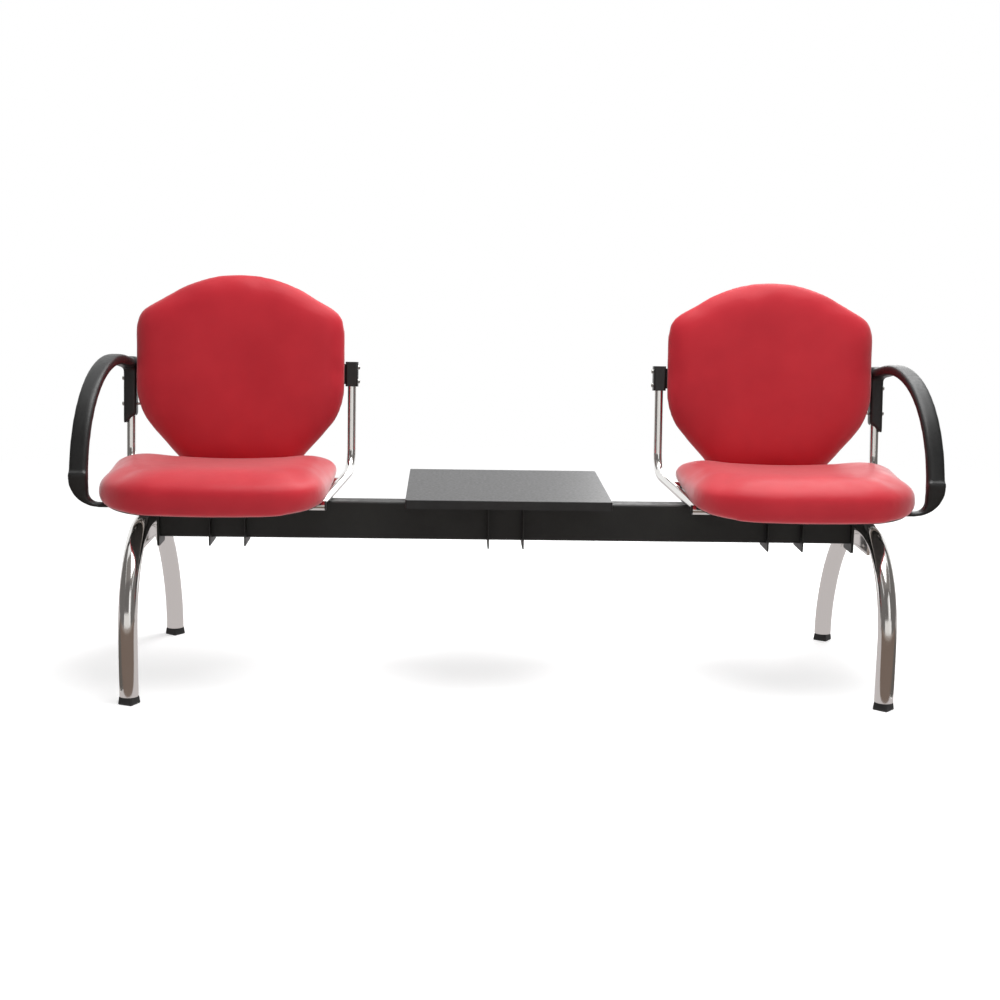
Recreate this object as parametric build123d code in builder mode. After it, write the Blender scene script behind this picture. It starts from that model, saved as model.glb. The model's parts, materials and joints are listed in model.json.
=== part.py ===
"""Two-seat beam bench with a square table between the seats.

Millimetres, +Z up, the floor at Z = 0. The front faces -Y and the beam runs along X.
Three saddles sit on the beam, and a bent leg closes each of its ends.
"""

import os
from math import atan2, cos, degrees, hypot, radians, sin, sqrt, tan

from build123d import *

os.makedirs("parts", exist_ok=True)

SIDES = (("left", -1), ("right", 1))
ABOVE = (Align.CENTER, Align.CENTER, Align.MIN)
BELOW = (Align.CENTER, Align.CENTER, Align.MAX)

# Beam, a rectangular steel tube
beam_length = 1474.0
beam_depth = 50.0
beam_height = 80.0
beam_wall = 2.5
beam_radius = 5.0
beam_y = -9.5
beam_bottom = 292.5

# End plates, nut plates and leg bolts
end_plate_width = 70.0
end_plate_thickness = 5.0
end_plate_drop = 18.5
end_plate_rise = 7.5
nut_plate_thickness = 8.0
nut_plate_height = 40.0
nut_plate_clearance = 1.0
leg_bolt_diameter = 8.0
leg_bolt_spacing = 26.0
leg_bolt_head = 16.0
leg_bolt_head_height = 6.0
leg_bolt_tail = 2.0
hole_clearance = 0.3

# Legs, one bent round tube each
leg_diameter = 38.0
leg_wall = 2.0
foot_reach = 283.0
crown_height = 335.0
shoulder_radius = 200.0
shoulder_turn = 85.0
crown_turn = 77.0
rear_straight = 6.0
web_thickness = 6.0
web_bottom = 281.0
web_front_angle = 95.0
web_rear_angle = 66.0
web_slot_length = 20.0
web_slot_width = 7.0
web_slot_y = -66.5
web_slot_z = 293.5

# Levelling feet; each square pad stands at its own turn
pad_side = 33.0
pad_top_side = 30.0
pad_corner = 3.0
pad_bevel = 1.0
pad_height = 16.0
pad_turns = {"front_left": -25.0, "front_right": -42.0, "rear_left": -38.0, "rear_right": -36.0}
pad_socket_floor = 5.0
pad_gap = 0.3
stem_diameter = 10.0
stem_past_insert = 4.0
stem_chamfer = 1.0
thread_clearance = 0.05
insert_rim_height = 5.0
insert_boss_diameter = 28.0
insert_boss_height = 22.0

# Saddles on the beam
beam_clearance = 0.3
cheek_spacing = 74.0
cheek_thickness = 3.0
cheek_depth = 92.0
cheek_drop = 15.5
cheek_chamfer = 3.0
strap_thickness = 5.0
strap_height = 60.0
lock_screw_diameter = 8.0
lock_screw_spacing = 34.0
lock_screw_head = 13.0
lock_screw_head_height = 5.5
plate_thickness = 4.0

# Seat frame, measured from each seat's centre line and from the beam
seat_x = 593.0
tube_diameter = 20.0
tube_wall = 2.0
upright_gap = 3.5
upright_y = 212.0
upright_past_middle = 12.0
recline = 6.0
bend_radius = 55.0
bend_z = 406.0
rail_overhang = 45.0
front_cross_y = -100.0
front_cross_z = 376.0
front_cross_past_rail = 12.0
rear_cross_y = 95.0
cope_allowance = 2.0
seat_plate_width = 120.0
plug_head = 3.0
plug_length = 12.0

# Seat board and cushion; each ring is a share of the height and an inset
seat_half_width = 243.0
seat_front_half = 230.0
seat_outward = 18.0
seat_front = -255.0
seat_rear = 174.0
seat_bow = 18.0
seat_bow_radius = 600.0
seat_front_radius = 140.0
seat_rear_radius = 95.0
board_thickness = 10.0
board_inset = 14.0
cushion_height = 59.0
cushion_rise = 2.4
cushion_rings = (
    (0.04, 13.0),
    (0.14, 7.5),
    (0.28, 3.5),
    (0.50, 0.0),
    (0.66, 5.0),
    (0.79, 18.0),
    (0.89, 40.0),
    (0.96, 72.0),
    (1.00, 116.0),
)
seat_screw_diameter = 6.0
seat_screw_head = 11.0
seat_screw_head_height = 3.5
seat_screw_bite = 7.0
seat_screw_inset = 93.0

# Back shell and cushion; each ring is a depth and an inset
back_reference_z = 606.0
back_gap = 4.5
back_middle_height = 35.0
back_side_bulge = 5.0
back_shoulder = 142.0
back_crown_slope = 30.0
back_waist = -76.0
back_foot = -206.0
back_foot_half = 112.0
back_crown_radius = 284.0
back_shoulder_radius = 48.0
back_side_radius = 900.0
back_waist_radius = 130.0
back_foot_radius = 60.0
shell_thickness = 14.0
shell_inset = 5.0
shell_bevel = 5.0
back_rings = (
    (0.0, 7.0),
    (12.0, 0.0),
    (21.0, 4.0),
    (30.5, 18.0),
    (37.5, 38.0),
    (42.5, 66.0),
    (45.0, 105.0),
)

# Clip on the inner upright, and the arm's sleeve on the outer one
holder_gap = 0.5
holder_radius = 5.0
clip_depth = 30.0
clip_wall = 14.0
clip_bottom = -15.0
clip_top = 40.0
sleeve_depth = 32.0
sleeve_wall = 16.0
sleeve_bottom = -106.0
sleeve_slant = 26.0
sleeve_top = 46.0
clip_screw_heights = (-3.0, 28.0)
sleeve_screw_heights = (-60.0, -3.0)
holder_screw_diameter = 6.0
holder_screw_head = 11.0
holder_screw_head_height = 4.0
holder_screw_bite = 24.0

# Arm band and the hook that turns under the seat
arm_width = 39.0
arm_thickness = 23.0
arm_edge_radius = 8.0
arm_root_offset = 4.0
arm_root_height = 30.0
arm_front_gap = 46.0
arm_rise = 26.5
arm_rise_run = 138.0
arm_drop = 32.5
arm_drop_run = 330.0
arm_lap = 20.0
arm_bends = (270.0, 232.0, 100.0)
hook_y = -132.0
hook_depth = 25.0
hook_height = 66.0
hook_corner = 60.0
hook_thickness = 8.0
hook_lap = 67.0
hook_fillet = 18.0
hook_edge = 2.0
hook_screw_insets = (58.0, 36.0)

# Table
table_x = -4.0
table_y = 12.0
table_size = 420.0
table_thickness = 18.0
table_rise = 12.5
table_radius = 4.0
table_edge = 1.5
table_plate_size = 220.0
table_plate_radius = 8.0
table_screw_inset = 25.0
table_screw_diameter = 5.0
table_screw_head = 9.5
table_screw_head_height = 3.0
table_screw_bite = 12.0

# Places worked out from the sizes above
beam_mid = beam_bottom + beam_height / 2
beam_top = beam_bottom + beam_height
beam_end = beam_length / 2
leg_x = beam_end + end_plate_thickness + leg_diameter / 2
leg_bottom = pad_height + pad_gap
tube_radius = tube_diameter / 2
upright_x = seat_half_width + upright_gap
upright_top = back_reference_z + upright_past_middle
front_rail_x = seat_half_width - rail_overhang
front_cross_half = front_rail_x + front_cross_past_rail
seat_slope = (bend_z - front_cross_z) / (upright_y - front_cross_y)
seat_tilt = degrees(atan2(bend_z - front_cross_z, upright_y - front_cross_y))
rail_z = front_cross_z - front_cross_y * seat_slope
board_z = rail_z + tube_radius / cos(radians(seat_tilt))
back_y = upright_y + (back_reference_z - bend_z) * tan(radians(recline))
back_half_width = upright_x - tube_radius - back_gap
holder_inside = back_half_width + holder_gap
shell_side = back_half_width - shell_inset
back_shoulder_half = back_half_width - back_side_bulge
back_apex = back_shoulder + back_shoulder_half * tan(radians(back_crown_slope))
back_crown = back_apex - back_crown_radius * (1 / cos(radians(back_crown_slope)) - 1)
arm_root_x = upright_x + arm_root_offset
arm_front_x = seat_half_width + arm_front_gap
hook_end = seat_half_width - hook_lap
table_bottom = beam_top + table_rise + plate_thickness

# The leg's three arcs run into each other and end upright over both feet
front_end = radians(180 - shoulder_turn)
rear_start = radians(180 - shoulder_turn - crown_turn)
reach_left = 2 * foot_reach - shoulder_radius * (1 + cos(front_end))
drop_left = crown_height - leg_bottom - rear_straight
arc_span = cos(rear_start) - cos(front_end)
arc_close = 1 - cos(rear_start)
arc_fall = 1 - sin(rear_start)
arc_scale = arc_span * sin(rear_start) - arc_close * arc_fall
crown_radius = (reach_left * sin(rear_start) - arc_close * drop_left) / arc_scale
rear_radius = (arc_span * drop_left - arc_fall * reach_left) / arc_scale
shoulder_y = shoulder_radius - foot_reach
crown_y = shoulder_y + (shoulder_radius - crown_radius) * cos(front_end)
crown_z = crown_height - crown_radius
shoulder_z = crown_z - (shoulder_radius - crown_radius) * sin(front_end)
rear_y = foot_reach - rear_radius
rear_z = leg_bottom + rear_straight


def save(piece, name):
    """Label a finished piece and write it to its own file."""
    piece.part.label = name
    export_step(piece.part, f"parts/{name}.step")


def bore(planes, diameter, depth):
    """Cut a round hole from each plane back along its normal, in the piece being built."""
    with Locations(*planes):
        Cylinder(diameter / 2, depth, align=BELOW, mode=Mode.SUBTRACT)


def add_screws(planes, diameter, length, head, head_height):
    """Add screws with heads on the given planes and shanks running back from them."""
    with Locations(*planes):
        Cone(head / 2, head / 2 - head_height / 3, head_height, align=ABOVE)
        Cylinder(diameter / 2, length, align=BELOW)


def rounded_face(outline):
    """Fill a closed outline of corners and roundings, in the sketch being drawn."""
    points, radii = outline
    with BuildLine() as edge:
        FilletPolyline(*points, radius=radii, close=True)
    make_face(edge.edges())


def crown_at(y):
    """Height of the leg's centre line above a place on its crown."""
    return crown_z + sqrt(crown_radius**2 - (y - crown_y) ** 2)


def bolt_planes(side):
    """Outermost spots of a leg's tube where its bolt heads sit."""
    places = (beam_y - leg_bolt_spacing / 2, beam_y + leg_bolt_spacing / 2)
    outside = side * (leg_x + leg_diameter / 2)
    return [Plane(origin=(outside, y, crown_at(y)), z_dir=(side, 0, 0)) for y in places]


def lock_planes(x):
    """Faces on a saddle's rear strap where its lock screws sit."""
    rear = beam_y + cheek_depth / 2
    heights = (beam_mid - lock_screw_spacing / 2, beam_mid + lock_screw_spacing / 2)
    return [Plane(origin=(x, rear, z), z_dir=(0, 1, 0)) for z in heights]


def board_plane(x):
    """Underside of a seat board, sloping down to the front."""
    lean = radians(seat_tilt)
    return Plane(origin=(x, beam_y, board_z), x_dir=(1, 0, 0), z_dir=(0, -sin(lean), cos(lean)))


def back_plane(x):
    """Plane of a seat's two uprights, facing forward and leaning back."""
    lean = radians(recline)
    place = (x, beam_y + back_y, back_reference_z)
    return Plane(origin=place, x_dir=(1, 0, 0), z_dir=(0, -cos(lean), sin(lean)))


def cross_plane(x, y):
    """Plane square to a cross tube at the middle of its length."""
    lean = radians(seat_tilt)
    place = board_plane(x).from_local_coords((0, y / cos(lean), -tube_radius))
    return Plane(origin=place, z_dir=(1, 0, 0))


def side_tube_points(x, hand):
    """Top, bend and front end of a side tube's centre line."""
    top_y = beam_y + upright_y + (upright_top - bend_z) * tan(radians(recline))
    top = Vector(x + hand * upright_x, top_y, upright_top)
    bend = Vector(x + hand * upright_x, beam_y + upright_y, bend_z)
    front = Vector(x + hand * front_rail_x, beam_y + front_cross_y, front_cross_z)
    return top, bend, front


def rail_at(v):
    """How far a side tube stands from the seat's centre line at a place along the seat."""
    run = v * cos(radians(seat_tilt)) - front_cross_y
    return front_rail_x + (upright_x - front_rail_x) * run / (upright_y - front_cross_y)


def seat_screw_planes(x, hand):
    """Undersides of both cross tubes where the seat screws' heads sit."""
    board = board_plane(x)
    u = hand * (seat_half_width - seat_screw_inset)
    places = [(u, y / cos(radians(seat_tilt)), -tube_diameter) for y in (front_cross_y, rear_cross_y)]
    return [Plane(origin=board.from_local_coords(place), z_dir=-board.z_dir) for place in places]


def hook_screw_planes(x, hand):
    """Underside of an arm's hook where its screws' heads sit."""
    board = board_plane(x)
    insets = [seat_half_width - inset for inset in hook_screw_insets]
    places = [(hand * u, hook_y, -hook_thickness) for u in insets]
    return [Plane(origin=board.from_local_coords(place), z_dir=-board.z_dir) for place in places]


def holder_screw_planes(x, hand, wall, heights):
    """Outer face of a clip or sleeve where its screws' heads sit."""
    places = [(hand * (upright_x + wall), v, 0) for v in heights]
    return [Plane(origin=back_plane(x).from_local_coords(place), z_dir=(hand, 0, 0)) for place in places]


def seat_outline(inset):
    """Corners and roundings of the seat's plan, drawn in by an inset."""
    middle = (seat_front + seat_rear) / 2
    half_length = (seat_rear - seat_front) / 2
    wide = (seat_half_width - inset) / seat_half_width
    long = (half_length - inset) / half_length
    front_side = seat_front_half * wide
    rear_side = seat_half_width * wide
    front = middle - half_length * long
    rear = middle + half_length * long
    shoulder = front + seat_bow * long
    points = (
        (-front_side, shoulder),
        (0, front),
        (front_side, shoulder),
        (rear_side, rear),
        (-rear_side, rear),
    )
    radii = (seat_front_radius, seat_bow_radius, seat_front_radius, seat_rear_radius, seat_rear_radius)
    return points, [radius * min(wide, long) for radius in radii]


def back_outline(inset):
    """Corners and roundings of the back's face, drawn in by an inset."""
    middle = (back_crown + back_foot) / 2
    half_length = (back_crown - back_foot) / 2
    wide = (back_half_width - inset) / back_half_width
    long = (half_length - inset) / half_length
    right = [
        (back_shoulder_half, back_shoulder, back_shoulder_radius),
        (back_half_width, back_middle_height, back_side_radius),
        (back_shoulder_half, back_waist, back_waist_radius),
        (back_foot_half, back_foot, back_foot_radius),
    ]
    left = [(-u, v, radius) for u, v, radius in reversed(right)]
    corners = [(0, back_apex, back_crown_radius)] + right + left
    points = [(u * wide, middle + (v - middle) * long) for u, v, radius in corners]
    return points, [radius * min(wide, long) for u, v, radius in corners]


def cushion_ring(x, share):
    """Plane of one ring of the seat cushion, which tips up at the front as it rises."""
    turn = radians(seat_tilt - share * (seat_tilt + cushion_rise))
    place = (x, beam_y, board_z + share * cushion_height)
    return Plane(origin=place, x_dir=(1, 0, 0), z_dir=(0, -sin(turn), cos(turn)))


def add_cheeks(x, plate):
    """Add a saddle's cheeks round the beam, up to its plate, and the strap behind them."""
    rise = -plate.z_dir.Y / plate.z_dir.Z
    front = beam_y - cheek_depth / 2
    rear = beam_y + cheek_depth / 2
    bottom = beam_bottom - cheek_drop
    for middle in (x - cheek_spacing / 2, x + cheek_spacing / 2):
        with BuildSketch(Plane.YZ.offset(middle - cheek_thickness / 2)) as cheek:
            with BuildLine():
                Polyline(
                    (front, bottom + cheek_chamfer),
                    (front + cheek_chamfer, bottom),
                    (rear - cheek_chamfer, bottom),
                    (rear, bottom + cheek_chamfer),
                    (rear, plate.origin.Z + rise * (rear - plate.origin.Y)),
                    (front, plate.origin.Z + rise * (front - plate.origin.Y)),
                    close=True,
                )
            make_face()
            with Locations((beam_y, beam_mid)):
                RectangleRounded(
                    beam_depth + 2 * beam_clearance,
                    beam_height + 2 * beam_clearance,
                    beam_radius,
                    mode=Mode.SUBTRACT,
                )
        extrude(cheek.sketch, amount=cheek_thickness)
    with Locations((x, rear - strap_thickness / 2, beam_mid)):
        Box(cheek_spacing, strap_thickness, strap_height)
    bore(lock_planes(x), lock_screw_diameter + 2 * thread_clearance, strap_thickness)


def add_holder(x, hand, wall, heights, depth, bottom, top):
    """Add the block round an upright's end and the tongue that reaches the back shell's edge."""
    back = back_plane(x)
    outside = upright_x + wall
    foot = back.from_local_coords((hand * (holder_inside + outside) / 2, bottom, 0))
    with BuildSketch(Plane(origin=foot, x_dir=(1, 0, 0), z_dir=back.y_dir)) as block:
        RectangleRounded(outside - holder_inside, depth, holder_radius)
    extrude(block.sketch, amount=top - bottom)
    with BuildSketch(back.offset(-shell_thickness / 2)) as tongue:
        with Locations((hand * (shell_side + upright_x) / 2, (clip_bottom + clip_top) / 2)):
            Rectangle(upright_x - shell_side, clip_top - clip_bottom - 2 * holder_radius)
    extrude(tongue.sketch, amount=shell_thickness)
    head, bend, front = side_tube_points(x, hand)
    with Locations(Plane(origin=head, z_dir=head - bend)):
        Cylinder(tube_radius, (head - bend).length, align=BELOW, mode=Mode.SUBTRACT)
    bore(holder_screw_planes(x, hand, wall, heights), holder_screw_diameter, outside - shell_side)


# Beam
with BuildPart() as beam:
    with BuildSketch(Plane.YZ.offset(-beam_end)):
        with Locations((beam_y, beam_mid)):
            RectangleRounded(beam_depth, beam_height, beam_radius)
            RectangleRounded(
                beam_depth - 2 * beam_wall,
                beam_height - 2 * beam_wall,
                beam_radius - beam_wall,
                mode=Mode.SUBTRACT,
            )
    extrude(amount=beam_length)
save(beam, "beam")

# Legs with their end plates, nut plates, webs and bolts
bolt_grip = leg_diameter + end_plate_thickness + nut_plate_thickness
web_radius = crown_radius - leg_diameter / 2
web_front = crown_y + web_radius * cos(radians(web_front_angle))
web_rear = crown_y + web_radius * cos(radians(web_rear_angle))
for side_name, side in SIDES:
    with BuildPart() as end_plate:
        with BuildSketch(Plane.YZ.offset(side * beam_end)):
            with Locations((beam_y, beam_mid + (end_plate_rise - end_plate_drop) / 2)):
                plate_height = beam_height + end_plate_rise + end_plate_drop
                RectangleRounded(end_plate_width, plate_height, beam_radius)
        extrude(amount=side * end_plate_thickness)
        bore(bolt_planes(side), leg_bolt_diameter + 2 * hole_clearance, bolt_grip)
    save(end_plate, f"end_plate_{side_name}")

    with BuildPart() as nut_plate:
        with BuildSketch(Plane.YZ.offset(side * beam_end)):
            with Locations((beam_y, crown_at(beam_y))):
                Rectangle(beam_depth - 2 * beam_wall - 2 * nut_plate_clearance, nut_plate_height)
        extrude(amount=-side * nut_plate_thickness)
        bore(bolt_planes(side), leg_bolt_diameter + 2 * thread_clearance, bolt_grip)
    save(nut_plate, f"nut_plate_{side_name}")

    with BuildPart() as leg:
        with BuildLine(Plane.YZ.offset(side * leg_x)):
            Line((-foot_reach, leg_bottom), (-foot_reach, shoulder_z))
            CenterArc((shoulder_y, shoulder_z), shoulder_radius, 180, -shoulder_turn)
            CenterArc((crown_y, crown_z), crown_radius, degrees(front_end), -crown_turn)
            CenterArc((rear_y, rear_z), rear_radius, degrees(rear_start), -degrees(rear_start))
            Line((foot_reach, rear_z), (foot_reach, leg_bottom))
        with BuildSketch(Plane.XY.offset(leg_bottom)):
            with Locations((side * leg_x, -foot_reach)):
                Circle(leg_diameter / 2)
                Circle(leg_diameter / 2 - leg_wall, mode=Mode.SUBTRACT)
        sweep()
        bore(bolt_planes(side), leg_bolt_diameter + 2 * hole_clearance, leg_diameter)
    save(leg, f"leg_{side_name}")

    with BuildPart() as web:
        with BuildSketch(Plane.YZ.offset(side * leg_x - web_thickness / 2)):
            with BuildLine():
                web_turn = web_rear_angle - web_front_angle
                under_crown = CenterArc((crown_y, crown_z), web_radius, web_front_angle, web_turn)
                Polyline(under_crown @ 1, (web_rear, web_bottom), (web_front, web_bottom), under_crown @ 0)
            make_face()
            with Locations((web_slot_y, web_slot_z)):
                SlotOverall(web_slot_length, web_slot_width, mode=Mode.SUBTRACT)
        extrude(amount=web_thickness)
    save(web, f"leg_web_{side_name}")

    with BuildPart() as leg_bolts:
        add_screws(
            bolt_planes(side),
            leg_bolt_diameter,
            bolt_grip + leg_bolt_tail,
            leg_bolt_head,
            leg_bolt_head_height,
        )
    save(leg_bolts, f"leg_bolts_{side_name}")

# Levelling feet: an insert in each tube end, a threaded stem and a pad
stem_bore = stem_diameter + 2 * thread_clearance
insert_height = insert_rim_height + insert_boss_height
stem_length = leg_bottom + insert_height + stem_past_insert - pad_socket_floor
pad_rings = (
    (0.0, pad_side - 2 * pad_bevel),
    (pad_bevel, pad_side),
    (pad_height - pad_bevel, pad_top_side),
    (pad_height, pad_top_side - 2 * pad_bevel),
)
for row_name, row in (("front", -1), ("rear", 1)):
    for side_name, side in SIDES:
        foot = Plane(origin=(side * leg_x, row * foot_reach, 0))

        with BuildPart() as insert:
            with Locations(foot.offset(leg_bottom)):
                Cylinder(leg_diameter / 2 - leg_wall, insert_rim_height, align=ABOVE)
                Cylinder(insert_boss_diameter / 2, insert_height, align=ABOVE)
            bore([foot.offset(leg_bottom + insert_height)], stem_bore, insert_height)
        save(insert, f"foot_insert_{row_name}_{side_name}")

        with BuildPart() as stem:
            with Locations(foot.offset(pad_socket_floor)):
                Cylinder(stem_diameter / 2, stem_length, align=ABOVE)
            chamfer(stem.edges().sort_by(Axis.Z)[-1], stem_chamfer)
        save(stem, f"foot_stem_{row_name}_{side_name}")

        with BuildPart() as pad:
            turned = foot.rotated((0, 0, pad_turns[f"{row_name}_{side_name}"]))
            for height, width in pad_rings:
                with BuildSketch(turned.offset(height)):
                    RectangleRounded(width, width, pad_corner)
            loft(ruled=True)
            bore([foot.offset(pad_height)], stem_bore, pad_height - pad_socket_floor)
        save(pad, f"foot_pad_{row_name}_{side_name}")

# Seats
lock_screw_length = (cheek_depth - beam_depth) / 2
clip_screw_length = upright_x + clip_wall - shell_side + holder_screw_bite
arm_screw_length = upright_x + sleeve_wall - shell_side + holder_screw_bite
plate_length = (rear_cross_y - front_cross_y) / cos(radians(seat_tilt))
for side_name, side in SIDES:
    x = side * seat_x
    board_under = board_plane(x)
    cushion_x = x + side * seat_outward
    cushion_under = board_plane(cushion_x)
    back_middle = back_plane(x)
    front_cross_plane = cross_plane(x, front_cross_y)
    rear_cross_plane = cross_plane(x, rear_cross_y)
    board_screw_planes = seat_screw_planes(x, -1) + seat_screw_planes(x, 1)
    sleeve_screw_planes = holder_screw_planes(x, side, sleeve_wall, sleeve_screw_heights)
    clip_screw_planes = holder_screw_planes(x, -side, clip_wall, clip_screw_heights)
    hands = (
        ("outer", side, sleeve_wall, sleeve_screw_heights),
        ("inner", -side, clip_wall, clip_screw_heights),
    )

    for hand_name, hand, wall, heights in hands:
        with BuildPart() as side_tube:
            head, bend, front = side_tube_points(x, hand)
            rail_end = front + (bend - front).normalized() * cope_allowance
            with BuildLine():
                FilletPolyline(head, bend, rail_end, radius=bend_radius)
            with BuildSketch(Plane(origin=head, z_dir=bend - head)):
                Circle(tube_radius)
                Circle(tube_radius - tube_wall, mode=Mode.SUBTRACT)
            sweep()
            with Locations(front_cross_plane):
                Cylinder(tube_radius, 2 * front_cross_half, mode=Mode.SUBTRACT)
            bore(holder_screw_planes(x, hand, wall, heights), holder_screw_diameter, wall + tube_radius)
        save(side_tube, f"side_tube_{side_name}_{hand_name}")

    with BuildPart() as front_cross:
        with Locations(front_cross_plane):
            Cylinder(tube_radius, 2 * front_cross_half)
            Cylinder(tube_radius - tube_wall, 2 * front_cross_half, mode=Mode.SUBTRACT)
        bore(board_screw_planes, seat_screw_diameter, tube_diameter)
    save(front_cross, f"front_cross_tube_{side_name}")

    with BuildPart() as rear_cross:
        rear_cross_half = rail_at(rear_cross_y) - cope_allowance
        with Locations(rear_cross_plane):
            Cylinder(tube_radius, 2 * rear_cross_half)
            Cylinder(tube_radius - tube_wall, 2 * rear_cross_half, mode=Mode.SUBTRACT)
        for hand_name, hand, wall, heights in hands:
            head, bend, front = side_tube_points(x, hand)
            with Locations(Plane(origin=(bend + front) / 2, z_dir=bend - front)):
                Cylinder(tube_radius, (bend - front).length, mode=Mode.SUBTRACT)
        bore(board_screw_planes, seat_screw_diameter, tube_diameter)
    save(rear_cross, f"rear_cross_tube_{side_name}")

    with BuildPart() as plugs:
        for hand_name, hand, wall, heights in hands:
            end = front_cross_plane.origin + Vector(hand * front_cross_half, 0, 0)
            with Locations(Plane(origin=end, z_dir=(hand, 0, 0))):
                Cylinder(tube_radius, plug_head, align=ABOVE)
                Cylinder(tube_radius - tube_wall, plug_length, align=BELOW)
    save(plugs, f"tube_plugs_{side_name}")

    with BuildPart() as seat_saddle:
        plate_place = (front_cross_plane.origin + rear_cross_plane.origin) / 2
        plate_under = Plane(origin=plate_place, x_dir=(1, 0, 0), z_dir=board_under.z_dir).offset(
            -plate_thickness / 2
        )
        add_cheeks(x, plate_under)
        with BuildSketch(plate_under):
            Rectangle(seat_plate_width, plate_length)
        extrude(amount=plate_thickness)
        with Locations(front_cross_plane, rear_cross_plane):
            Cylinder(tube_radius, 2 * front_cross_half, mode=Mode.SUBTRACT)
    save(seat_saddle, f"seat_saddle_{side_name}")

    with BuildPart() as seat_lock_screws:
        add_screws(
            lock_planes(x), lock_screw_diameter, lock_screw_length, lock_screw_head, lock_screw_head_height
        )
    save(seat_lock_screws, f"lock_screws_{side_name}")

    with BuildPart() as board:
        with BuildSketch(cushion_under):
            rounded_face(seat_outline(board_inset))
        extrude(amount=board_thickness)
        bore(board_screw_planes, seat_screw_diameter, tube_diameter + seat_screw_bite)
        bore(hook_screw_planes(x, side), seat_screw_diameter, hook_thickness + seat_screw_bite)
    save(board, f"seat_board_{side_name}")

    with BuildPart() as seat_pad:
        for share, inset in cushion_rings:
            with BuildSketch(cushion_ring(cushion_x, share)):
                rounded_face(seat_outline(inset))
        loft(ruled=True)
        with BuildSketch(cushion_under):
            rounded_face(seat_outline(board_inset))
        extrude(amount=board_thickness, mode=Mode.SUBTRACT)
    save(seat_pad, f"seat_pad_{side_name}")

    with BuildPart() as seat_screws:
        add_screws(
            board_screw_planes,
            seat_screw_diameter,
            tube_diameter + seat_screw_bite,
            seat_screw_head,
            seat_screw_head_height,
        )
    save(seat_screws, f"seat_screws_{side_name}")

    with BuildPart() as shell:
        with BuildSketch(back_middle.offset(-shell_thickness / 2)):
            rounded_face(back_outline(shell_inset + shell_bevel))
        with BuildSketch(back_middle.offset(shell_bevel - shell_thickness / 2)):
            rounded_face(back_outline(shell_inset))
        with BuildSketch(back_middle.offset(shell_thickness / 2)):
            rounded_face(back_outline(shell_inset))
        loft(ruled=True)
        bore(sleeve_screw_planes, holder_screw_diameter, arm_screw_length)
        bore(clip_screw_planes, holder_screw_diameter, clip_screw_length)
    save(shell, f"back_shell_{side_name}")

    with BuildPart() as back_pad:
        for depth, inset in back_rings:
            with BuildSketch(back_middle.offset(shell_thickness / 2 + depth)):
                rounded_face(back_outline(inset))
        loft(ruled=True)
    save(back_pad, f"back_pad_{side_name}")

    with BuildPart() as clip:
        add_holder(x, -side, clip_wall, clip_screw_heights, clip_depth, clip_bottom, clip_top)
    save(clip, f"back_clip_{side_name}")

    with BuildPart() as clip_screws:
        add_screws(
            clip_screw_planes,
            holder_screw_diameter,
            clip_screw_length,
            holder_screw_head,
            holder_screw_head_height,
        )
    save(clip_screws, f"clip_screws_{side_name}")

    root = back_middle.from_local_coords((side * arm_root_x, arm_root_height, 0))
    hook_place = board_under.from_local_coords((0, hook_y, 0))
    joint = Vector(x + side * arm_front_x, hook_place.Y, hook_place.Z + hook_height)
    arm_run = hypot(joint.X - root.X, joint.Y - root.Y)
    arm_plane = Plane(
        origin=(root.X, root.Y, 0),
        x_dir=(joint.X - root.X, joint.Y - root.Y, 0),
        z_dir=(joint.Y - root.Y, root.X - joint.X, 0),
    )
    hook_outside = arm_front_x + arm_width / 2
    hook_inside = arm_front_x - arm_width / 2
    hook_corners = (
        (hook_outside, hook_height, hook_edge),
        (hook_outside, -hook_thickness, hook_corner),
        (hook_end, -hook_thickness, hook_edge),
        (hook_end, 0, hook_edge),
        (hook_inside, 0, hook_fillet),
        (hook_inside, hook_height, hook_edge),
    )
    hook_points = [(side * u, h) for u, h, radius in hook_corners]
    with BuildPart() as arm:
        with BuildLine(arm_plane) as arm_line:
            FilletPolyline(
                (0, root.Z),
                (arm_rise_run, root.Z + arm_rise),
                (arm_drop_run, root.Z - arm_drop),
                (arm_run, joint.Z),
                (arm_run, joint.Z - arm_lap),
                radius=arm_bends,
            )
        with BuildSketch(Plane(origin=root, x_dir=arm_plane.z_dir, z_dir=arm_line.wire() % 0)):
            RectangleRounded(arm_width, arm_thickness, arm_edge_radius)
        sweep()
        with BuildSketch(Plane(origin=hook_place, x_dir=(1, 0, 0), z_dir=-board_under.y_dir)):
            rounded_face((hook_points, [radius for u, h, radius in hook_corners]))
        extrude(amount=hook_depth / 2, both=True)
        bore(hook_screw_planes(x, side), seat_screw_diameter, hook_thickness)
        add_holder(x, side, sleeve_wall, sleeve_screw_heights, sleeve_depth, sleeve_bottom, sleeve_top)
        with BuildSketch(back_middle.offset(-sleeve_depth)):
            with BuildLine():
                Polyline(
                    (side * shell_side, sleeve_bottom),
                    (side * (upright_x + sleeve_wall), sleeve_bottom),
                    (side * shell_side, sleeve_bottom + sleeve_slant),
                    close=True,
                )
            make_face()
        extrude(amount=2 * sleeve_depth, mode=Mode.SUBTRACT)
    save(arm, f"arm_{side_name}")

    with BuildPart() as arm_screws:
        add_screws(
            sleeve_screw_planes,
            holder_screw_diameter,
            arm_screw_length,
            holder_screw_head,
            holder_screw_head_height,
        )
        add_screws(
            hook_screw_planes(x, side),
            seat_screw_diameter,
            hook_thickness + seat_screw_bite,
            seat_screw_head,
            seat_screw_head_height,
        )
    save(arm_screws, f"arm_screws_{side_name}")

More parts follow.
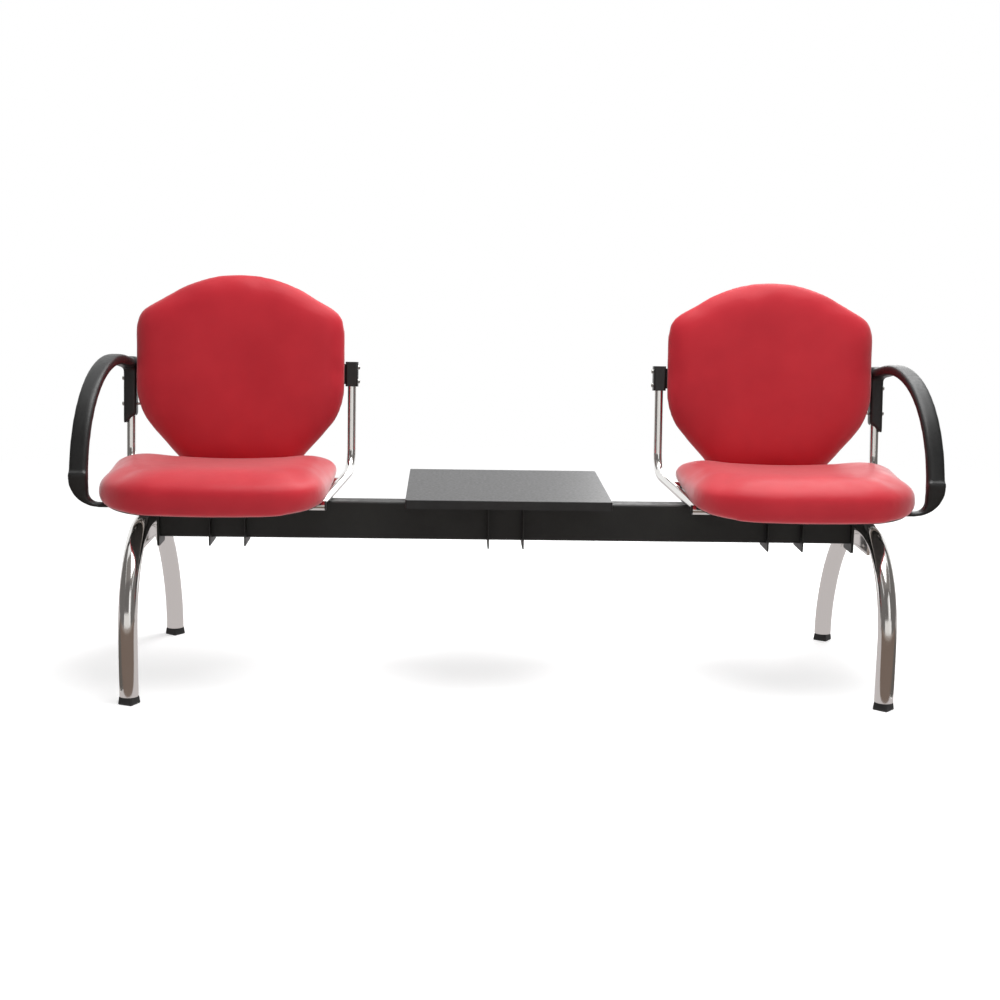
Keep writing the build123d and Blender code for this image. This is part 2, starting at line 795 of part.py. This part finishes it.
# Table, its saddle and its screws
table_under = Plane(origin=(table_x, beam_y + table_y, table_bottom))
table_plate = table_under.offset(-plate_thickness)
screw_step = table_plate_size - 2 * table_screw_inset
table_screw_planes = [
    Plane(origin=table_plate.from_local_coords((u * screw_step / 2, v * screw_step / 2, 0)), z_dir=(0, 0, -1))
    for u in (-1, 1)
    for v in (-1, 1)
]
with BuildPart() as table_saddle:
    add_cheeks(table_x, table_plate)
    with BuildSketch(table_plate):
        RectangleRounded(table_plate_size, table_plate_size, table_plate_radius)
    extrude(amount=plate_thickness)
    bore(table_screw_planes, table_screw_diameter, plate_thickness)
save(table_saddle, "table_saddle")

with BuildPart() as table_lock_screws:
    add_screws(
        lock_planes(table_x), lock_screw_diameter, lock_screw_length, lock_screw_head, lock_screw_head_height
    )
save(table_lock_screws, "lock_screws_table")

with BuildPart() as table_top:
    with BuildSketch(table_under):
        RectangleRounded(table_size, table_size, table_radius)
    extrude(amount=table_thickness)
    fillet(table_top.faces().sort_by(Axis.Z)[-1].edges(), table_edge)
    bore(table_screw_planes, table_screw_diameter, plate_thickness + table_screw_bite)
save(table_top, "table_top")

with BuildPart() as table_screws:
    add_screws(
        table_screw_planes,
        table_screw_diameter,
        plate_thickness + table_screw_bite,
        table_screw_head,
        table_screw_head_height,
    )
save(table_screws, "table_screws")
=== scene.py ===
import json
from math import atan2, cos, pi, radians, sin, tan

import bmesh
import bpy
from mathutils import Euler, Matrix, Vector


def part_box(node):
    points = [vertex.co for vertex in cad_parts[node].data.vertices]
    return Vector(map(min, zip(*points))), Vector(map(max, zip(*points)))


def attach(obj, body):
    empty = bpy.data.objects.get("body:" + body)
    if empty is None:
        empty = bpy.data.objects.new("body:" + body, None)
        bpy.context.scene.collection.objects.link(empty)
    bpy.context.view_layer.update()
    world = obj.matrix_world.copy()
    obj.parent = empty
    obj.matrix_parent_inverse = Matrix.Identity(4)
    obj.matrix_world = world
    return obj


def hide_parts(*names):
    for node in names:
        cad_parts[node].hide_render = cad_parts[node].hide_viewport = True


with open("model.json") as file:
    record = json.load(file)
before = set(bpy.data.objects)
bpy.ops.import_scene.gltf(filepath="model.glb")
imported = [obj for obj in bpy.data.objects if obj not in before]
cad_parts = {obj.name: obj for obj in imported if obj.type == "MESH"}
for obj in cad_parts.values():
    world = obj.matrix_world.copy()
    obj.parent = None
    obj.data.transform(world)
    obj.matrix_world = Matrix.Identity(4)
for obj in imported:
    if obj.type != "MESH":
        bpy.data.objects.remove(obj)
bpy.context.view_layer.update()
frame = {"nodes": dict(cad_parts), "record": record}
nodes = frame["nodes"]
scene = bpy.context.scene

SIDES = (("left", -1), ("right", 1))

# Lengths are in metres, apart from the camera's lens and sensor, which are in millimetres.

# Camera, placed where the photograph was taken from
camera_place = Vector((-0.12675, -3.52495, 0.9767))
camera_yaw = 0.0314
camera_pitch = 0.1693
camera_roll = 0.017
camera_lens = 60.0
camera_sensor = 36.0

# Cushions: the skin, the stuffing, and the hems that stay flat
weld = 0.00002
cushion_voxel = 0.005
smoothing = 0.5
first_passes = 14
last_passes = 28
cloth_frames = 20
cloth_pressure = 4.0
cushion_swell = 0.006
seat_tilt = radians(5.49)
board_thickness = 0.010
board_lip = 0.0006
seat_hem = 0.016
back_recline = radians(6)
back_hem = 0.012

# The seat's dish and the fuller sides beside it, placed by shares of the pad's width, depth and height
seat_dish = 0.009
side_fill = 0.008
side_fill_place = 0.80
side_fill_reach = 0.28
dish_start = 0.15
dish_run = 0.6
top_gain = 1.6
top_offset = 0.4

# Arms
arm_voxel = 0.0022
arm_passes = 20

# Screw heads: how a head's round face is found, and its socket and rim
flat_angle = radians(2)
disc_corners = 8
disc_roundness = 0.97
head_ratio = 1.1
socket_share = 0.55
socket_depth = 0.0018
socket_lean = 0.00002
hex_half = pi / 6
head_round = 0.0005
round_profile = 0.5

# Plate edges and threads; a wave texture turns 20 radians in each unit of its scale
edge_break = 0.0009
edge_segments = 2
sharp_angle = radians(40)
thread_pitch = 0.0015
wave_radians = 20

# Finishes: the part of a pattern that spans its limits, and how far the plastics vary
pattern_low = 0.3
pattern_high = 0.7
plastic_lift = 1.25
plastic_smoother = 0.05
plastic_rougher = 0.07

# Stage
white = (1, 1, 1)
floor_grey = (0.8, 0.8, 0.8)
floor_size = 8
floor_fade_start = 1.6
floor_fade_end = 3.6
floor_glow = 0.54
room_fill = 0.36
lying = (0, 0, 0)
standing = (pi / 2, 0, 0)
standing_sideways = (0, pi / 2, 0)


def merged_copy(*names):
    """The welded meshes of some CAD nodes, as one new bmesh."""
    form = bmesh.new()
    for name in names:
        form.from_mesh(nodes[name].data)
    bmesh.ops.remove_doubles(form, verts=form.verts, dist=weld)
    return form


def new_piece(name, form, finish):
    """Turn a bmesh into a smooth piece with a finish."""
    mesh = bpy.data.meshes.new(name)
    form.to_mesh(mesh)
    form.free()
    mesh.materials.clear()
    mesh.materials.append(finish)
    mesh.shade_smooth()
    piece = bpy.data.objects.new(name, mesh)
    scene.collection.objects.link(piece)
    return piece


def apply_modifiers(piece):
    """Bake the piece's modifiers into its mesh."""
    bpy.context.view_layer.update()
    settled = piece.evaluated_get(bpy.context.evaluated_depsgraph_get())
    baked = bpy.data.meshes.new_from_object(settled)
    piece.modifiers.clear()
    piece.data = baked


def remesh(piece, voxel):
    """Rebuild a piece's skin from even voxels, which joins what overlaps."""
    skin = piece.modifiers.new("Skin", "REMESH")
    skin.mode = "VOXEL"
    skin.voxel_size = voxel
    skin.use_smooth_shade = True
    apply_modifiers(piece)


def relax(piece, passes):
    """Smooth a piece's skin a few times."""
    form = bmesh.new()
    form.from_mesh(piece.data)
    for _ in range(passes):
        bmesh.ops.smooth_vert(
            form, verts=form.verts, factor=smoothing, use_axis_x=True, use_axis_y=True, use_axis_z=True
        )
    form.to_mesh(piece.data)
    form.free()


def corners_of(piece):
    """Lowest and highest corner of a piece's mesh."""
    places = [point.co for point in piece.data.vertices]
    low = Vector([min(place[axis] for place in places) for axis in range(3)])
    high = Vector([max(place[axis] for place in places) for axis in range(3)])
    return low, high


def fit(piece, low, high):
    """Stretch a piece's mesh to fill a box."""
    old_low, old_high = corners_of(piece)
    for point in piece.data.vertices:
        for axis in range(3):
            share = (point.co[axis] - old_low[axis]) / (old_high[axis] - old_low[axis])
            point.co[axis] = low[axis] + share * (high[axis] - low[axis])


def clamped(share):
    """A share kept between 0 and 1."""
    return min(1.0, max(0.0, share))


def finish_shader(name, colour, roughness, metallic=0.0):
    """A new material with its shader set, and the object coordinates that its patterns read."""
    material = bpy.data.materials.new(name)
    material.use_nodes = True
    tree = material.node_tree
    shader = tree.nodes["Principled BSDF"]
    shader.inputs["Base Color"].default_value = (*colour, 1)
    shader.inputs["Roughness"].default_value = roughness
    shader.inputs["Metallic"].default_value = metallic
    place = tree.nodes.new("ShaderNodeTexCoord").outputs["Object"]
    return material, tree, shader, place


def noise(tree, place, scale, detail=3.0):
    """A cloudy pattern, given as waves per metre."""
    pattern = tree.nodes.new("ShaderNodeTexNoise")
    pattern.inputs["Scale"].default_value = scale
    pattern.inputs["Detail"].default_value = detail
    tree.links.new(place, pattern.inputs["Vector"])
    return pattern.outputs["Fac"]


def pebbles(tree, place, scale):
    """A pebbled pattern, given as cells per metre."""
    pattern = tree.nodes.new("ShaderNodeTexVoronoi")
    pattern.feature = "SMOOTH_F1"
    pattern.inputs["Scale"].default_value = scale
    tree.links.new(place, pattern.inputs["Vector"])
    return pattern.outputs["Distance"]


def stretched(tree, place, scale):
    """Coordinates drawn out along some axes."""
    mapping = tree.nodes.new("ShaderNodeMapping")
    mapping.inputs["Scale"].default_value = scale
    tree.links.new(place, mapping.inputs["Vector"])
    return mapping.outputs["Vector"]


def vary(tree, pattern, shader, low, high):
    """Let a pattern swing a shader's roughness between two limits."""
    span = tree.nodes.new("ShaderNodeMapRange")
    span.inputs["From Min"].default_value = pattern_low
    span.inputs["From Max"].default_value = pattern_high
    span.inputs["To Min"].default_value = low
    span.inputs["To Max"].default_value = high
    tree.links.new(pattern, span.inputs["Value"])
    tree.links.new(span.outputs["Result"], shader.inputs["Roughness"])


def tint(tree, pattern, shader, low, high):
    """Let a pattern swing a shader's colour between two shades."""
    ramp = tree.nodes.new("ShaderNodeValToRGB")
    ramp.color_ramp.elements[0].position = pattern_low
    ramp.color_ramp.elements[0].color = (*low, 1)
    ramp.color_ramp.elements[1].position = pattern_high
    ramp.color_ramp.elements[1].color = (*high, 1)
    tree.links.new(pattern, ramp.inputs["Fac"])
    tree.links.new(ramp.outputs["Color"], shader.inputs["Base Color"])


def relief(tree, pattern, shader, strength, height, under=None):
    """Raise a pattern on a shader, over the relief under it, and give the relief that results."""
    bump = tree.nodes.new("ShaderNodeBump")
    bump.inputs["Strength"].default_value = strength
    bump.inputs["Distance"].default_value = height
    tree.links.new(pattern, bump.inputs["Height"])
    if under is not None:
        tree.links.new(under, bump.inputs["Normal"])
    tree.links.new(bump.outputs["Normal"], shader.inputs["Normal"])
    return bump.outputs["Normal"]


def red_leatherette():
    """Smooth red cover with a fine pebbled grain and a soft sheen."""
    material, tree, shader, place = finish_shader(
        "red_leatherette", colour=(0.54, 0.017, 0.030), roughness=0.44
    )
    shader.inputs["Specular IOR Level"].default_value = 0.2
    shader.inputs["Sheen Weight"].default_value = 0.4
    shader.inputs["Sheen Roughness"].default_value = 0.45
    tint(tree, noise(tree, place, scale=9.0), shader, low=(0.51, 0.014, 0.027), high=(0.58, 0.020, 0.034))
    vary(tree, noise(tree, place, scale=40.0), shader, low=0.40, high=0.49)
    grain = relief(tree, pebbles(tree, place, scale=750.0), shader, strength=0.35, height=0.0003)
    relief(tree, noise(tree, place, scale=60.0), shader, strength=0.15, height=0.0006, under=grain)
    return material


def polished_chrome():
    """Bright plated tube with faint polishing haze."""
    material, tree, shader, place = finish_shader(
        "polished_chrome", colour=(0.80, 0.79, 0.77), roughness=0.12, metallic=1.0
    )
    vary(tree, noise(tree, place, scale=55.0), shader, low=0.10, high=0.15)
    haze = noise(tree, stretched(tree, place, scale=(1, 1, 0.15)), scale=120.0)
    relief(tree, haze, shader, strength=0.08, height=0.0002)
    return material


def black_powder_coat():
    """Satin black powder coat with its orange peel."""
    material, tree, shader, place = finish_shader(
        "black_powder_coat", colour=(0.013, 0.0135, 0.013), roughness=0.45
    )
    shader.inputs["Specular IOR Level"].default_value = 0.43
    clouds = noise(tree, place, scale=14.0)
    tint(tree, clouds, shader, low=(0.011, 0.0115, 0.011), high=(0.016, 0.0165, 0.015))
    vary(tree, noise(tree, place, scale=90.0), shader, low=0.40, high=0.52)
    relief(tree, noise(tree, place, scale=700.0), shader, strength=0.25, height=0.0002)
    return material


def moulded_plastic(name, colour, roughness):
    """Moulded black plastic with an etched grain."""
    material, tree, shader, place = finish_shader(name, colour, roughness)
    lighter = tuple(plastic_lift * channel for channel in colour)
    smoother = roughness - plastic_smoother
    rougher = roughness + plastic_rougher
    tint(tree, noise(tree, place, scale=22.0), shader, low=colour, high=lighter)
    vary(tree, noise(tree, place, scale=130.0), shader, low=smoother, high=rougher)
    relief(tree, noise(tree, place, scale=1400.0), shader, strength=0.3, height=0.00015)
    return material


def table_laminate():
    """Dark laminate with a fine crystal texture."""
    material, tree, shader, place = finish_shader(
        "table_laminate", colour=(0.018, 0.018, 0.019), roughness=0.36
    )
    shader.inputs["Specular IOR Level"].default_value = 0.43
    tint(tree, noise(tree, place, scale=30.0), shader, low=(0.015, 0.015, 0.016), high=(0.021, 0.021, 0.022))
    vary(tree, noise(tree, place, scale=160.0), shader, low=0.32, high=0.42)
    relief(tree, pebbles(tree, place, scale=900.0), shader, strength=0.2, height=0.0001)
    return material


def plywood():
    """Black-stained plywood with its grain along the seat and its plies at the edge."""
    material, tree, shader, place = finish_shader("plywood", colour=(0.035, 0.030, 0.027), roughness=0.6)
    grain = noise(tree, stretched(tree, place, scale=(26, 2.2, 420)), scale=5.0, detail=6.0)
    tint(tree, grain, shader, low=(0.022, 0.019, 0.017), high=(0.050, 0.043, 0.038))
    vary(tree, grain, shader, low=0.55, high=0.75)
    relief(tree, grain, shader, strength=0.3, height=0.0003)
    return material


def zinc_steel():
    """Zinc-plated steel with a faint blotchy passivation."""
    material, tree, shader, place = finish_shader(
        "zinc_steel", colour=(0.60, 0.60, 0.58), roughness=0.33, metallic=1.0
    )
    tint(tree, noise(tree, place, scale=180.0), shader, low=(0.52, 0.53, 0.52), high=(0.68, 0.67, 0.63))
    vary(tree, noise(tree, place, scale=400.0), shader, low=0.26, high=0.42)
    relief(tree, noise(tree, place, scale=900.0), shader, strength=0.1, height=0.0001)
    return material


def threaded_steel():
    """Zinc-plated steel with a screw thread."""
    material, tree, shader, place = finish_shader(
        "threaded_steel", colour=(0.58, 0.58, 0.56), roughness=0.35, metallic=1.0
    )
    vary(tree, noise(tree, place, scale=400.0), shader, low=0.28, high=0.44)
    wave = tree.nodes.new("ShaderNodeTexWave")
    wave.bands_direction = "Z"
    wave.inputs["Scale"].default_value = 2 * pi / (wave_radians * thread_pitch)
    tree.links.new(place, wave.inputs["Vector"])
    relief(tree, wave.outputs["Fac"], shader, strength=1.0, height=0.0008)
    return material


def black_oxide():
    """Blackened steel of the leg bolts."""
    material, tree, shader, place = finish_shader(
        "black_oxide", colour=(0.025, 0.025, 0.025), roughness=0.4, metallic=0.6
    )
    clouds = noise(tree, place, scale=260.0)
    tint(tree, clouds, shader, low=(0.018, 0.018, 0.018), high=(0.035, 0.034, 0.032))
    vary(tree, noise(tree, place, scale=500.0), shader, low=0.34, high=0.5)
    relief(tree, noise(tree, place, scale=1200.0), shader, strength=0.1, height=0.0001)
    return material


red_cover = red_leatherette()
chrome = polished_chrome()
arm_plastic = moulded_plastic("arm_plastic", colour=(0.011, 0.0115, 0.0115), roughness=0.42)

finishes = {
    "black_steel": black_powder_coat(),
    "table_laminate": table_laminate(),
    "zinc_steel": zinc_steel(),
    "chrome_leg": chrome,
    "chrome_tube": chrome,
    "black_bolt": black_oxide(),
    "black_plastic": arm_plastic,
    "seat_board": plywood(),
    "back_shell": moulded_plastic("shell_plastic", colour=(0.014, 0.014, 0.015), roughness=0.5),
    "red_leatherette": red_cover,
    "foot_rubber": moulded_plastic("foot_rubber", colour=(0.014, 0.014, 0.014), roughness=0.55),
}
thread = threaded_steel()
slots = {subpart["node"]: subpart["material_slot"] for subpart in frame["record"]["subparts"]}
for node, slot in slots.items():
    for material_slot in nodes[node].material_slots:
        material_slot.material = thread if node.startswith("foot_stem") else finishes[slot]


def hold(piece, held):
    """A vertex group of the points that the stuffing can't move."""
    group = piece.vertex_groups.new(name="held")
    group.add([point.index for point in piece.data.vertices if held(point.co)], 1.0, "REPLACE")
    return group.name


def stuff(piece, held):
    """Swell a cushion's cover from inside, by no more than the swell at any point."""
    start = [point.co.copy() for point in piece.data.vertices]
    cloth = piece.modifiers.new("Stuffing", "CLOTH")
    cloth.settings.use_pressure = True
    cloth.settings.uniform_pressure_force = cloth_pressure
    cloth.settings.effector_weights.gravity = 0
    cloth.settings.vertex_group_mass = hold(piece, held)
    for step in range(1, cloth_frames + 1):
        scene.frame_set(step)
    apply_modifiers(piece)
    scene.frame_set(1)
    for point, before in zip(piece.data.vertices, start):
        move = point.co - before
        if move.length > cushion_swell:
            point.co = before + move.normalized() * cushion_swell
    piece.vertex_groups.clear()


def mirrored(piece, name):
    """The same cushion or arm for the other side of the bench."""
    form = bmesh.new()
    form.from_mesh(piece.data)
    bmesh.ops.scale(form, vec=(-1, 1, 1), verts=form.verts)
    bmesh.ops.reverse_faces(form, faces=form.faces)
    return new_piece(name, form, piece.data.materials[0])


def seat_cushion():
    """The right seat's cushion: a crowned pad over its board, dished towards the rear."""
    board_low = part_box("seat_board_right")[0]
    edge = Vector((0, board_low.y + board_thickness * sin(seat_tilt), board_low.z))
    normal = Vector((0, -sin(seat_tilt), cos(seat_tilt)))
    piece = new_piece("seat_cushion_right", merged_copy("seat_pad_right", "seat_board_right"), red_cover)
    low, high = corners_of(piece)
    middle = (low.x + high.x) / 2
    half = (high.x - low.x) / 2
    remesh(piece, cushion_voxel)
    relax(piece, first_passes)
    for point in piece.data.vertices:
        across = min(1.0, abs(point.co.x - middle) / half)
        along = (point.co.y - low.y) / (high.y - low.y)
        height = (point.co.z - low.z) / (high.z - low.z)
        rear_share = clamped((along - dish_start) / dish_run)
        top_share = clamped(height * top_gain - top_offset)
        side_share = max(0.0, 1 - ((across - side_fill_place) / side_fill_reach) ** 2)
        dish_share = (1 - across**2) ** 2
        point.co.z += (side_fill * side_share - seat_dish * dish_share) * rear_share * top_share
    stuff(piece, lambda place: (place - edge).dot(normal) < seat_hem)
    relax(piece, last_passes)
    fit(piece, low, high)
    for point in piece.data.vertices:
        point.co += normal * max(0.0, board_lip - (point.co - edge).dot(normal))
    return piece


def back_cushion():
    """The right back's cushion, crowned towards the sitter."""
    shell_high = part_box("back_shell_right")[1]
    lean = tan(back_recline)
    rear = shell_high.y - lean * shell_high.z
    piece = new_piece("back_cushion_right", merged_copy("back_pad_right"), red_cover)
    low, high = corners_of(piece)
    remesh(piece, cushion_voxel)
    relax(piece, first_passes)
    stuff(piece, lambda place: place.y - lean * place.z > rear - back_hem)
    relax(piece, last_passes)
    fit(piece, low, high)
    return piece


def dress_cushion(piece, node):
    """Put a cushion in place of its CAD solid."""
    finer = piece.modifiers.new("Cover", "SUBSURF")
    finer.levels = 1
    finer.render_levels = 1
    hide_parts(node)
    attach(piece, "frame")


cushions = ((seat_cushion, "seat_cushion", "seat_pad"), (back_cushion, "back_cushion", "back_pad"))
for make, part, node in cushions:
    right = make()
    left = mirrored(right, f"{part}_left")
    dress_cushion(right, f"{node}_right")
    dress_cushion(left, f"{node}_left")


def arm_moulding():
    """The right arm: band, hook and sleeve run into one moulding with soft edges."""
    piece = new_piece("arm_moulding_right", merged_copy("arm_right"), arm_plastic)
    remesh(piece, arm_voxel)
    relax(piece, arm_passes)
    return piece


right_arm = arm_moulding()
for arm, side_name in ((right_arm, "right"), (mirrored(right_arm, "arm_moulding_left"), "left")):
    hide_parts(f"arm_{side_name}")
    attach(arm, "frame")


def soften(node):
    """Break the sharp edges of a plate or block."""
    joined = nodes[node].modifiers.new("Joined", "WELD")
    joined.merge_threshold = weld
    edges = nodes[node].modifiers.new("Edges", "BEVEL")
    edges.width = edge_break
    edges.segments = edge_segments
    edges.limit_method = "ANGLE"
    edges.angle_limit = sharp_angle
    edges.harden_normals = True


def head_discs(form):
    """The round faces of a set's screw heads, each with its radius."""
    discs = []
    for face in form.faces:
        middle = face.calc_center_median()
        reach = [(corner.co - middle).length for corner in face.verts]
        if len(reach) > disc_corners and min(reach) > disc_roundness * max(reach):
            discs.append((max(reach), face))
    shank = min(radius for radius, face in discs)
    return [(radius, face) for radius, face in discs if radius > head_ratio * shank]


def pull_to_hexagon(face):
    """Draw a round face's corners in to a hexagon."""
    middle = face.calc_center_median()
    first = (face.verts[0].co - middle).normalized()
    second = face.normal.cross(first)
    for corner in face.verts:
        spoke = corner.co - middle
        angle = atan2(spoke.dot(second), spoke.dot(first))
        from_flat = (angle + hex_half) % (2 * hex_half) - hex_half
        corner.co = middle + spoke * (cos(hex_half) / cos(from_flat))


def socket_screws(node):
    """A set of screws with rounded heads and hex sockets."""
    form = merged_copy(node)
    bmesh.ops.dissolve_limit(form, angle_limit=flat_angle, verts=form.verts, edges=form.edges)
    heads = head_discs(form)
    rims = [edge for radius, face in heads for edge in face.edges]
    for radius, face in heads:
        bmesh.ops.inset_individual(form, faces=[face], thickness=radius * (1 - socket_share))
        pull_to_hexagon(face)
        bmesh.ops.inset_individual(form, faces=[face], thickness=socket_lean, depth=-socket_depth)
    bmesh.ops.bevel(
        form,
        geom=rims,
        offset=head_round,
        offset_type="OFFSET",
        segments=edge_segments,
        profile=round_profile,
        affect="EDGES",
        material=-1,
    )
    screws = new_piece(f"{node}_socketed", form, finishes[slots[node]])
    screws.data.set_sharp_from_angle(angle=sharp_angle)
    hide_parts(node)
    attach(screws, "frame")


side_screws = ("lock_screws", "seat_screws", "arm_screws", "clip_screws", "leg_bolts")
side_blocks = ("end_plate", "leg_web", "seat_saddle", "back_clip")
screw_sets = ["lock_screws_table", "table_screws"]
blocks = ["beam", "table_saddle"]
for side_name, _ in SIDES:
    screw_sets += [f"{part}_{side_name}" for part in side_screws]
    blocks += [f"{part}_{side_name}" for part in side_blocks]
for node in screw_sets:
    socket_screws(node)
for node in blocks:
    soften(node)


# Stage: a pale floor that fades into a white room, glowing cards that paint dark and light reflections,
# mostly into the chrome, and soft lamps
def seen_by_eye(tree):
    """1 for rays from the camera and for those that metal or glass sends on."""
    path = tree.nodes.new("ShaderNodeLightPath")
    total = path.outputs["Is Camera Ray"]
    for other in ("Is Glossy Ray", "Is Transmission Ray"):
        either = tree.nodes.new("ShaderNodeMath")
        either.operation = "MAXIMUM"
        tree.links.new(total, either.inputs[0])
        tree.links.new(path.outputs[other], either.inputs[1])
        total = either.outputs["Value"]
    return total


def mixed(tree, share, first, second):
    """Two shaders mixed by a share, or added where there is none."""
    mix = tree.nodes.new("ShaderNodeMixShader" if share else "ShaderNodeAddShader")
    if share:
        tree.links.new(share, mix.inputs["Fac"])
    tree.links.new(first, mix.inputs[-2])
    tree.links.new(second, mix.inputs[-1])
    return mix.outputs["Shader"]


def bare_material(name):
    """A material with an empty tree, and its output's surface."""
    material = bpy.data.materials.new(name)
    material.use_nodes = True
    tree = material.node_tree
    tree.nodes.remove(tree.nodes["Principled BSDF"])
    return material, tree, tree.nodes["Material Output"].inputs["Surface"]


def glowing(tree, colour, strength):
    """A plain glow."""
    glow = tree.nodes.new("ShaderNodeEmission")
    glow.inputs["Color"].default_value = (*colour, 1)
    glow.inputs["Strength"].default_value = strength
    return glow.outputs["Emission"]


def pale_floor():
    """White to the eye where lit, with the bench's soft shadow kept, and clear further out."""
    material, tree, surface = bare_material("pale_floor")
    plain = tree.nodes.new("ShaderNodeBsdfDiffuse")
    plain.inputs["Color"].default_value = (*floor_grey, 1)
    clear = tree.nodes.new("ShaderNodeBsdfTransparent")
    far = tree.nodes.new("ShaderNodeVectorMath")
    far.operation = "LENGTH"
    tree.links.new(tree.nodes.new("ShaderNodeTexCoord").outputs["Object"], far.inputs[0])
    fade = tree.nodes.new("ShaderNodeMapRange")
    fade.inputs["From Min"].default_value = floor_fade_start
    fade.inputs["From Max"].default_value = floor_fade_end
    tree.links.new(far.outputs["Value"], fade.inputs["Value"])
    lit = mixed(tree, None, plain.outputs["BSDF"], glowing(tree, white, floor_glow))
    near = mixed(tree, seen_by_eye(tree), plain.outputs["BSDF"], lit)
    tree.links.new(mixed(tree, fade.outputs["Result"], near, clear.outputs["BSDF"]), surface)
    return material


def stage_card(name, place, turn, size, finish):
    """A flat rectangle of the stage, drawn out from a unit square."""
    form = bmesh.new()
    bmesh.ops.create_grid(form, x_segments=1, y_segments=1, size=0.5)
    spot = Matrix.Translation(place) @ Euler(turn).to_matrix().to_4x4()
    bmesh.ops.transform(form, matrix=spot @ Matrix.Diagonal((*size, 1, 1)), verts=form.verts)
    card = new_piece(name, form, finish)
    return card


def mirror_card(name, place, turn, size, shade, strength=1.0):
    """A glowing card that only polished surfaces show: a painted dark or bright reflection, in the place of
    a part of a studio.
    """
    material, tree, surface = bare_material(name)
    tree.links.new(glowing(tree, shade, strength), surface)
    card = stage_card(name, place, turn, size, material)
    card.visible_camera = False
    card.visible_diffuse = False
    card.visible_shadow = False
    card.visible_transmission = False


def white_room():
    """A world that looks white, and lights the bench by its fill alone."""
    world = bpy.data.worlds.new("white_room")
    scene.world = world
    world.use_nodes = True
    tree = world.node_tree
    shade = tree.nodes["Background"]
    shade.inputs["Color"].default_value = (*white, 1)
    span = tree.nodes.new("ShaderNodeMapRange")
    span.inputs["To Min"].default_value = room_fill
    span.inputs["To Max"].default_value = 1.0
    tree.links.new(seen_by_eye(tree), span.inputs["Value"])
    tree.links.new(span.outputs["Result"], shade.inputs["Strength"])


def soft_lamp(name, place, target, size, power):
    """A square soft box that looks at a point of the bench."""
    lamp = bpy.data.lights.new(name, "AREA")
    lamp.size = size
    lamp.energy = power
    holder = bpy.data.objects.new(name, lamp)
    holder.matrix_world = Matrix.Translation(place) @ (
        (Vector(target) - Vector(place)).to_track_quat("-Z", "Y").to_matrix().to_4x4()
    )
    scene.collection.objects.link(holder)


stage_card("floor", place=(0, 0, 0), turn=lying, size=(floor_size, floor_size), finish=pale_floor())
# Glowing cards in front of the bench and above it: painted dark reflections of walls and ceiling, with a
# painted light band and a painted bright stripe in the chrome
mirror_card("dark_wall", place=(0, -6.5, 5.0), turn=standing, size=(14, 6.4), shade=(0.16, 0.15, 0.145))
mirror_card("light_wall", place=(0, -6.5, 0.9), turn=standing, size=(9, 1.8), shade=(0.85, 0.83, 0.81))
mirror_card("dark_ceiling", place=(0, -3.7, 7.6), turn=lying, size=(14, 5.6), shade=(0.24, 0.22, 0.21))
mirror_card("bright_strip", place=(2.7, -6.2, 3.2), turn=standing, size=(0.8, 6), shade=white)
# Glowing cards just above the floor, seen only in reflections: a painted brown reflection of the floor in
# front, the bench's painted shadow under it, and a painted grey floor behind
mirror_card("brown_far", place=(0, -4.0, 0.004), turn=lying, size=(12, 5.0), shade=(0.34, 0.29, 0.26))
mirror_card("brown_near", place=(0, -0.925, 0.004), turn=lying, size=(12, 1.15), shade=(0.20, 0.150, 0.125))
mirror_card("bench_shadow_under", place=(0, -0.175, 0.003), turn=lying, size=(1.72, 0.45), shade=(0.62, 0.58, 0.58))
mirror_card("grey_rear", place=(0, 1.275, 0.003), turn=lying, size=(9.4, 2.45), shade=(0.62, 0.58, 0.58))
# A strong glowing card behind the right seat: a painted sheen on the seat tops and painted highlights in the
# chrome
mirror_card("bright_rear", place=(1.9, 4.2, 1.6), turn=standing, size=(2.6, 2.6), shade=white, strength=3.0)
# Dark glowing cards beside the bench and at the sides: painted dark reflections along the edges of the
# chrome legs
for side_name, side in SIDES:
    mirror_card(
        f"dark_side_{side_name}",
        place=(side * 2.8, -0.175, 0.004),
        turn=lying,
        size=(3.88, 0.45),
        shade=(0.13, 0.12, 0.11),
    )
    mirror_card(
        f"side_wall_{side_name}",
        place=(side * 5.0, -1.8, 2.4),
        turn=standing_sideways,
        size=(4.8, 9.4),
        shade=(0.17, 0.16, 0.155),
    )
white_room()
soft_lamp("overhead", place=(0.40, -0.37, 3.2), target=(0, 0, 0.5), size=2.4, power=90)
soft_lamp("rear_top", place=(1.2, 1.5, 2.9), target=(0.3, -0.1, 0.45), size=1.8, power=42)
soft_lamp("front", place=(1.4, -3.6, 2.0), target=(0, 0, 0.5), size=1.8, power=6)

# Camera
camera = bpy.data.objects.new("camera", bpy.data.cameras.new("camera"))
camera.data.sensor_width = camera_sensor
camera.data.lens = camera_lens
camera_turn = Euler((pi / 2 - camera_pitch, 0, -camera_yaw)).to_matrix().to_4x4()
camera.matrix_world = Matrix.Translation(camera_place) @ camera_turn @ Matrix.Rotation(camera_roll, 4, "Z")
scene.collection.objects.link(camera)
scene.camera = camera

scene.view_settings.view_transform = "Standard"
